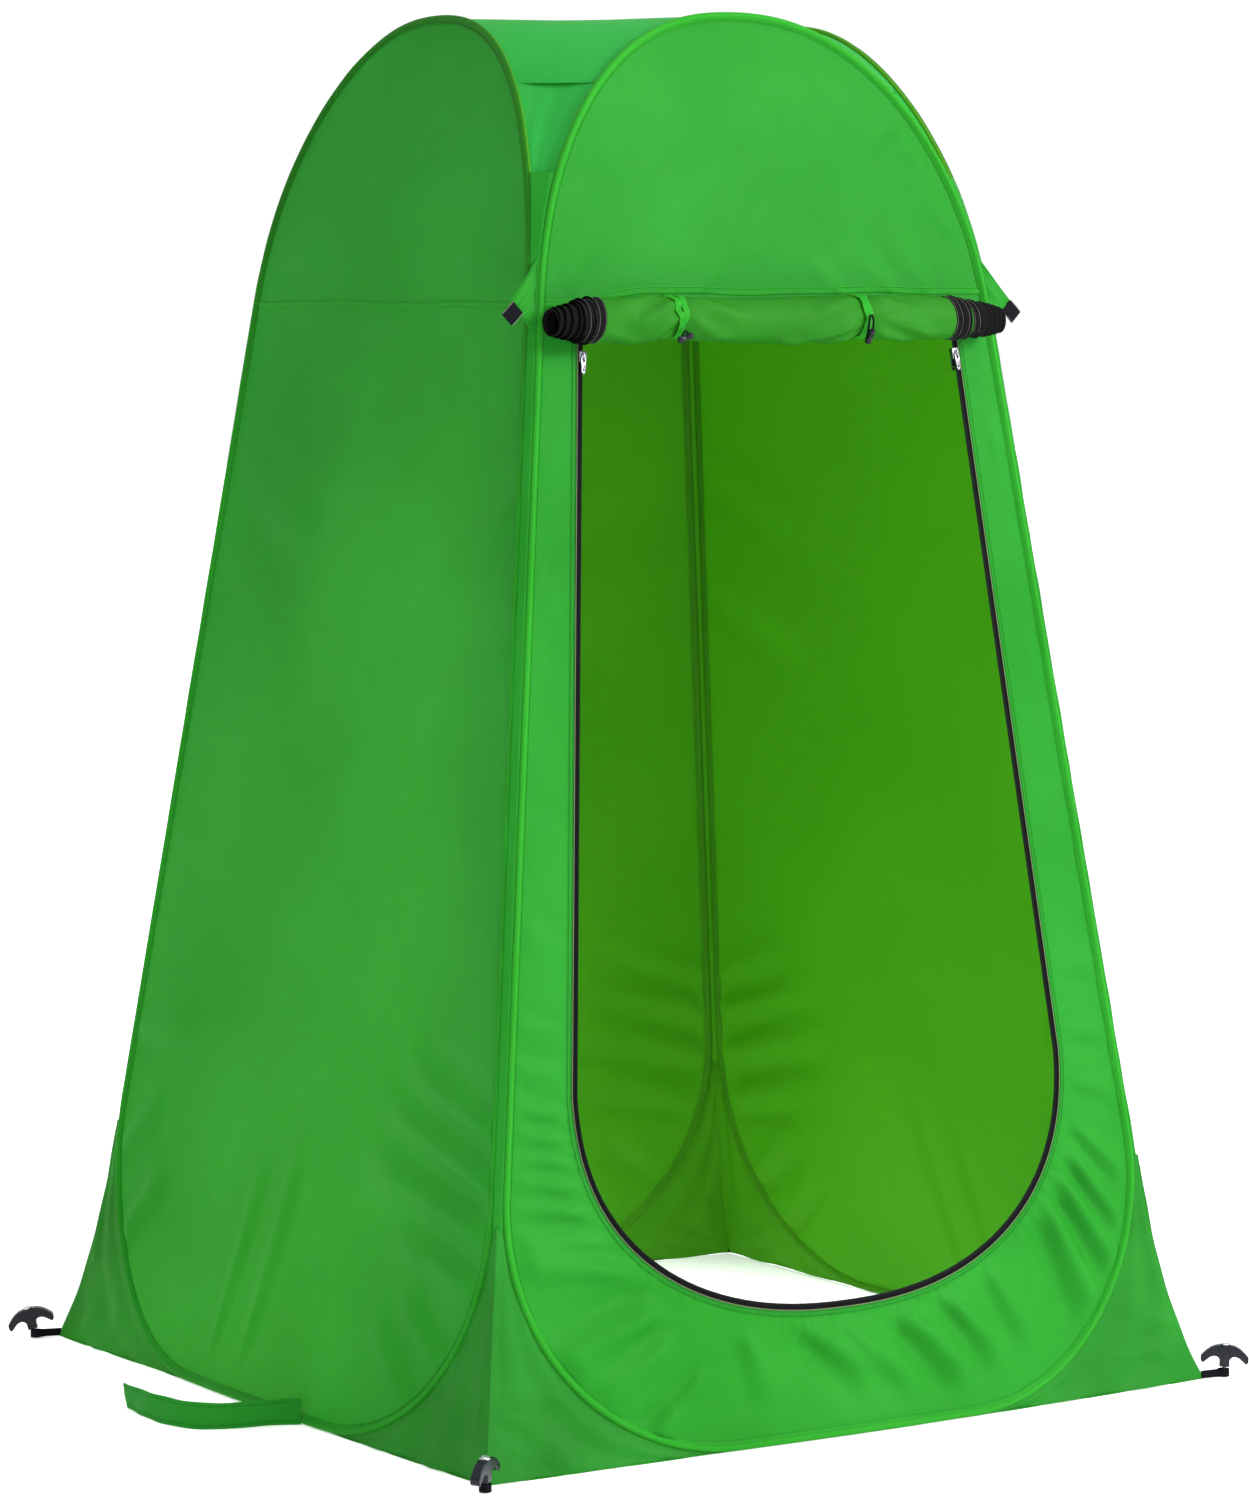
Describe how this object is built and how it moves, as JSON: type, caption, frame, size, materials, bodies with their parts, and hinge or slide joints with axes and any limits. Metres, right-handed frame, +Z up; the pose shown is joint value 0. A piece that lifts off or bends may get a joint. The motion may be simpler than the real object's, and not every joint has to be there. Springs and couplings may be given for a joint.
{
  "type": "privacy shower tent",
  "caption": "Pop-up privacy shower tent: four sprung hoops in tapering cloth walls, arched roof, ground skirts on stakes, and a zipped door rolled up above its opening.",
  "frame": {"origin": "on the ground, in the middle of the whole object including its stakes and strap", "axes": "+Z up; the door faces -Y; +X is to the right of a person who faces the door from outside"},
  "size_m": [1.319, 1.1716, 1.7528],
  "materials": {
    "green_cloth": "coated polyester taffeta, soft sheen",
    "black_webbing": "woven tape",
    "zip_nylon": "nylon coil",
    "black_plastic": "moulded, satin",
    "plated_steel": "nickel plate",
    "spring_steel": "drawn wire"
  },
  "bodies": {
    "tent": {"hoop_front": "spring_steel", "hoop_ferrule_front": "spring_steel", "hoop_sleeve_front": "green_cloth", "lower_wall_front": "green_cloth", "arch_wall_front": "green_cloth", "hoop_left": "spring_steel", "hoop_ferrule_left": "spring_steel", "hoop_sleeve_left": "green_cloth", "lower_wall_left": "green_cloth", "arch_wall_left": "green_cloth", "hoop_back": "spring_steel", "hoop_ferrule_back": "spring_steel", "hoop_sleeve_back": "green_cloth", "lower_wall_back": "green_cloth", "arch_wall_back": "green_cloth", "hoop_right": "spring_steel", "hoop_ferrule_right": "spring_steel", "hoop_sleeve_right": "green_cloth", "lower_wall_right": "green_cloth", "arch_wall_right": "green_cloth", "corner_skirt_front_left": "green_cloth", "stake_loop_front_left": "black_webbing", "corner_skirt_back_left": "green_cloth", "stake_loop_back_left": "black_webbing", "corner_skirt_back_right": "green_cloth", "stake_loop_back_right": "black_webbing", "corner_skirt_front_right": "green_cloth", "stake_loop_front_right": "black_webbing", "roof_panel": "green_cloth", "roof_gusset_front_left": "green_cloth", "roof_gusset_back_left": "green_cloth", "roof_gusset_back_right": "green_cloth", "roof_gusset_front_right": "green_cloth", "zip_tape": "black_webbing", "zip_chain": "zip_nylon", "door_roll": "green_cloth", "rolled_zip_end_left": "black_webbing", "rolled_zip_end_right": "black_webbing", "door_tie_left": "green_cloth", "door_tie_right": "green_cloth", "guy_tab_left": "green_cloth", "guy_tab_right": "green_cloth", "storage_strap": "green_cloth"},
    "zip_slider_left": {"zip_slider_left": "plated_steel"},
    "zip_pull_outer_left": {"zip_pull_outer_left": "plated_steel"},
    "zip_pull_inner_left": {"zip_pull_inner_left": "plated_steel"},
    "zip_slider_right": {"zip_slider_right": "plated_steel"},
    "zip_pull_outer_right": {"zip_pull_outer_right": "plated_steel"},
    "zip_pull_inner_right": {"zip_pull_inner_right": "plated_steel"},
    "tie_toggle_left": {"tie_toggle_left": "black_plastic"},
    "tie_toggle_right": {"tie_toggle_right": "black_plastic"},
    "stake_nail_front_left": {"stake_nail_front_left": "plated_steel"},
    "stake_hook_front_left": {"stake_hook_front_left": "black_plastic"},
    "stake_nail_back_left": {"stake_nail_back_left": "plated_steel"},
    "stake_hook_back_left": {"stake_hook_back_left": "black_plastic"},
    "stake_nail_back_right": {"stake_nail_back_right": "plated_steel"},
    "stake_hook_back_right": {"stake_hook_back_right": "black_plastic"},
    "stake_nail_front_right": {"stake_nail_front_right": "plated_steel"},
    "stake_hook_front_right": {"stake_hook_front_right": "black_plastic"}
  },
  "joints": [
    {"name": "zip_slide_left", "type": "slide", "parent": "tent", "child": "zip_slider_left", "axis": [-0.0896, -0.1255, -0.988], "range_m": [0, 0.87]},
    {"name": "zip_pull_outer_hinge_left", "type": "hinge", "parent": "zip_slider_left", "child": "zip_pull_outer_left", "pos_m": [-0.24639, -0.35333, 1.32478], "axis": [-0.996, 0.0113, 0.0889], "range_deg": [0, 80]},
    {"name": "zip_pull_inner_hinge_left", "type": "hinge", "parent": "zip_slider_left", "child": "zip_pull_inner_left", "pos_m": [-0.24639, -0.3446, 1.32367], "axis": [0.996, -0.0113, -0.0889], "range_deg": [-5, 110]},
    {"name": "zip_slide_right", "type": "slide", "parent": "tent", "child": "zip_slider_right", "axis": [0.0896, -0.1255, -0.988], "range_m": [0, 0.87]},
    {"name": "zip_pull_outer_hinge_right", "type": "hinge", "parent": "zip_slider_right", "child": "zip_pull_outer_right", "pos_m": [0.31718, -0.35333, 1.32478], "axis": [-0.996, -0.0113, -0.0889], "range_deg": [0, 80]},
    {"name": "zip_pull_inner_hinge_right", "type": "hinge", "parent": "zip_slider_right", "child": "zip_pull_inner_right", "pos_m": [0.31718, -0.3446, 1.32367], "axis": [0.996, 0.0113, 0.0889], "range_deg": [-5, 110]},
    {"name": "tie_toggle_turn_left", "type": "hinge", "parent": "tent", "child": "tie_toggle_left", "pos_m": [-0.13261, -0.40638, 1.34884], "axis": [0, -0.8191, -0.5736], "range_deg": [-80, 80]},
    {"name": "tie_toggle_turn_right", "type": "hinge", "parent": "tent", "child": "tie_toggle_right", "pos_m": [0.14339, -0.40638, 1.34884], "axis": [0, -0.8191, -0.5736], "range_deg": [-80, 80]},
    {"name": "stake_pull_out_front_left", "type": "slide", "parent": "tent", "child": "stake_nail_front_left", "axis": [-0.0778, -0.1154, 0.9903], "range_m": [0, 0.17]},
    {"name": "stake_hook_turn_front_left", "type": "hinge", "parent": "stake_nail_front_left", "child": "stake_hook_front_left", "pos_m": [-0.51669, -0.56028, 0], "axis": [-0.0778, -0.1154, 0.9903], "continuous": true},
    {"name": "stake_pull_out_back_left", "type": "slide", "parent": "tent", "child": "stake_nail_back_left", "axis": [-0.2663, 0.0713, 0.9613], "range_m": [0, 0.17]},
    {"name": "stake_hook_turn_back_left", "type": "hinge", "parent": "stake_nail_back_left", "child": "stake_hook_back_left", "pos_m": [-0.54749, 0.54488, 0], "axis": [-0.2663, 0.0713, 0.9613], "continuous": true},
    {"name": "stake_pull_out_back_right", "type": "slide", "parent": "tent", "child": "stake_nail_back_right", "axis": [0.1368, 0.1069, 0.9848], "range_m": [0, 0.17]},
    {"name": "stake_hook_turn_back_right", "type": "hinge", "parent": "stake_nail_back_right", "child": "stake_hook_back_right", "pos_m": [0.60725, 0.567, 0], "axis": [0.1368, 0.1069, 0.9848], "continuous": true},
    {"name": "stake_pull_out_front_right", "type": "slide", "parent": "tent", "child": "stake_nail_front_right", "axis": [0.052, -0.0055, 0.9986], "range_m": [0, 0.17]},
    {"name": "stake_hook_turn_front_right", "type": "hinge", "parent": "stake_nail_front_right", "child": "stake_hook_front_right", "pos_m": [0.63, -0.52469, 0], "axis": [0.052, -0.0055, 0.9986], "continuous": true}
  ]
}
